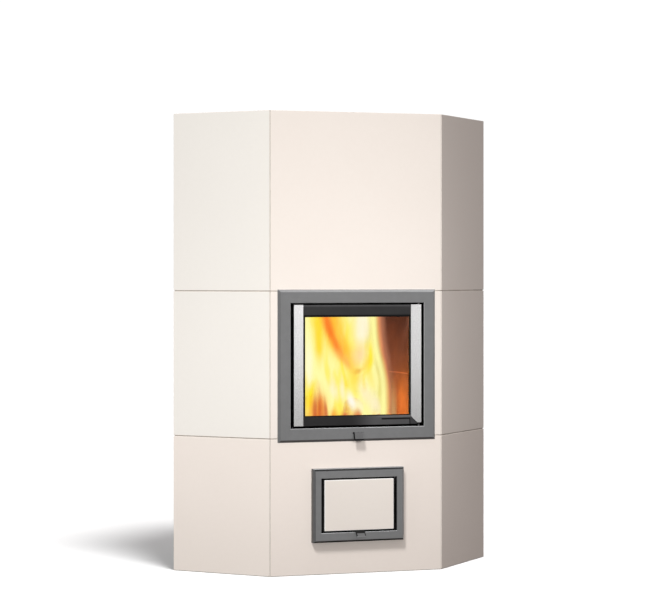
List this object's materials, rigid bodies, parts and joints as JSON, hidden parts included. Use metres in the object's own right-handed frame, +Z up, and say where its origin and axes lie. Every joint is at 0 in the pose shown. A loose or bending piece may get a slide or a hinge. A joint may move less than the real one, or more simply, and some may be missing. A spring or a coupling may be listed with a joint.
{
  "type": "tiled corner stove",
  "caption": "Corner wood stove clad in large cream glazed tiles, with a framed glass fire door with polished side strips above a tile-faced ash door.",
  "frame": {"origin": "centre of the bounding box, at floor level", "axes": "+Z up, the doors face -Y, +X to the viewer's right; the two wall faces look back at 45 degrees"},
  "size_m": [1.0992, 0.7312, 1.5],
  "materials": {
    "tile_glaze": "satin cream glaze",
    "joint_filler": "matt mineral joint strip",
    "panel_board": "plain fibre cement",
    "cover_slab": "cast slab, matt",
    "insulation": "vermiculite board",
    "refractory": "cast refractory concrete",
    "firebrick": "firebrick, sooted",
    "frame_paint": "grey heat-resistant paint, satin",
    "leaf_paint": "black heat-resistant paint",
    "polished_steel": "fine brushed stainless steel",
    "door_glass": "clear glass ceramic",
    "rope_seal": "woven glass-fibre rope",
    "plain_steel": "plain sheet and bar steel",
    "cast_iron": "bare grey iron"
  },
  "bodies": {
    "stove": {"ash_box_runners": "plain_steel", "ash_catch_spring": "plain_steel", "ash_frame": "frame_paint", "ash_hinge_pins": "plain_steel", "ash_lintel": "refractory", "ash_wall_left": "refractory", "ash_wall_rear": "refractory", "ash_wall_right": "refractory", "base_slab": "refractory", "core_cover": "refractory", "cover_insulation": "insulation", "fire_catch_roller": "plain_steel", "fire_frame": "frame_paint", "fire_hinge_pins": "plain_steel", "firebrick_left": "firebrick", "firebrick_rear": "firebrick", "firebrick_right": "firebrick", "flue_collar": "cast_iron", "frame_screws": "leaf_paint", "hearth_slab": "firebrick", "rear_panel_centre": "panel_board", "rear_panel_left": "panel_board", "rear_panel_right": "panel_board", "throat_slab": "refractory", "tile_jamb_left": "tile_glaze", "tile_jamb_right": "tile_glaze", "tile_joints": "joint_filler", "tile_lower_front": "tile_glaze", "tile_lower_left": "tile_glaze", "tile_lower_right": "tile_glaze", "tile_middle_left": "tile_glaze", "tile_middle_right": "tile_glaze", "tile_ties": "plain_steel", "tile_upper_front": "tile_glaze", "tile_upper_left": "tile_glaze", "tile_upper_right": "tile_glaze", "top_cover": "cover_slab", "upper_baffle": "refractory", "upper_wall_front": "refractory", "upper_wall_left": "refractory", "upper_wall_rear": "refractory", "upper_wall_right": "refractory"},
    "fire_door": {"fire_leaf": "leaf_paint", "fire_glass": "door_glass", "glass_clamps": "plain_steel", "fire_gasket": "rope_seal", "fire_handle_strip": "polished_steel", "fire_trim_strip": "polished_steel", "fire_band_top": "leaf_paint", "fire_band_bottom": "leaf_paint", "fire_catch_tongue": "plain_steel"},
    "ash_door": {"ash_leaf": "leaf_paint", "ash_inlay": "tile_glaze", "ash_gasket": "rope_seal", "ash_pull": "frame_paint"},
    "air_control": {"air_lever": "frame_paint", "air_shutter": "plain_steel"},
    "ash_drawer": {"ash_box": "plain_steel", "ash_box_handle": "plain_steel"},
    "loose_grate": {"grate": "cast_iron"}
  },
  "joints": [
    {"name": "fire_door_hinge", "type": "hinge", "parent": "stove", "child": "fire_door", "pos_m": [0.213, -0.32276, 0.678], "axis": [0, 0, 1], "range_deg": [0, 110]},
    {"name": "ash_door_hinge", "type": "hinge", "parent": "stove", "child": "ash_door", "pos_m": [0.1226, -0.34156, 0.225], "axis": [0, 0, 1], "range_deg": [0, 110]},
    {"name": "air_lever_slide", "type": "slide", "parent": "stove", "child": "air_control", "axis": [1, 0, 0], "range_m": [-0.012, 0.012]},
    {"name": "ash_box_slide", "type": "slide", "parent": "stove", "child": "ash_drawer", "axis": [0, -1, 0], "range_m": [0, 0.045]},
    {"name": "grate_lift", "type": "slide", "parent": "stove", "child": "loose_grate", "axis": [0, 0, 1], "range_m": [0, 0.03]}
  ]
}
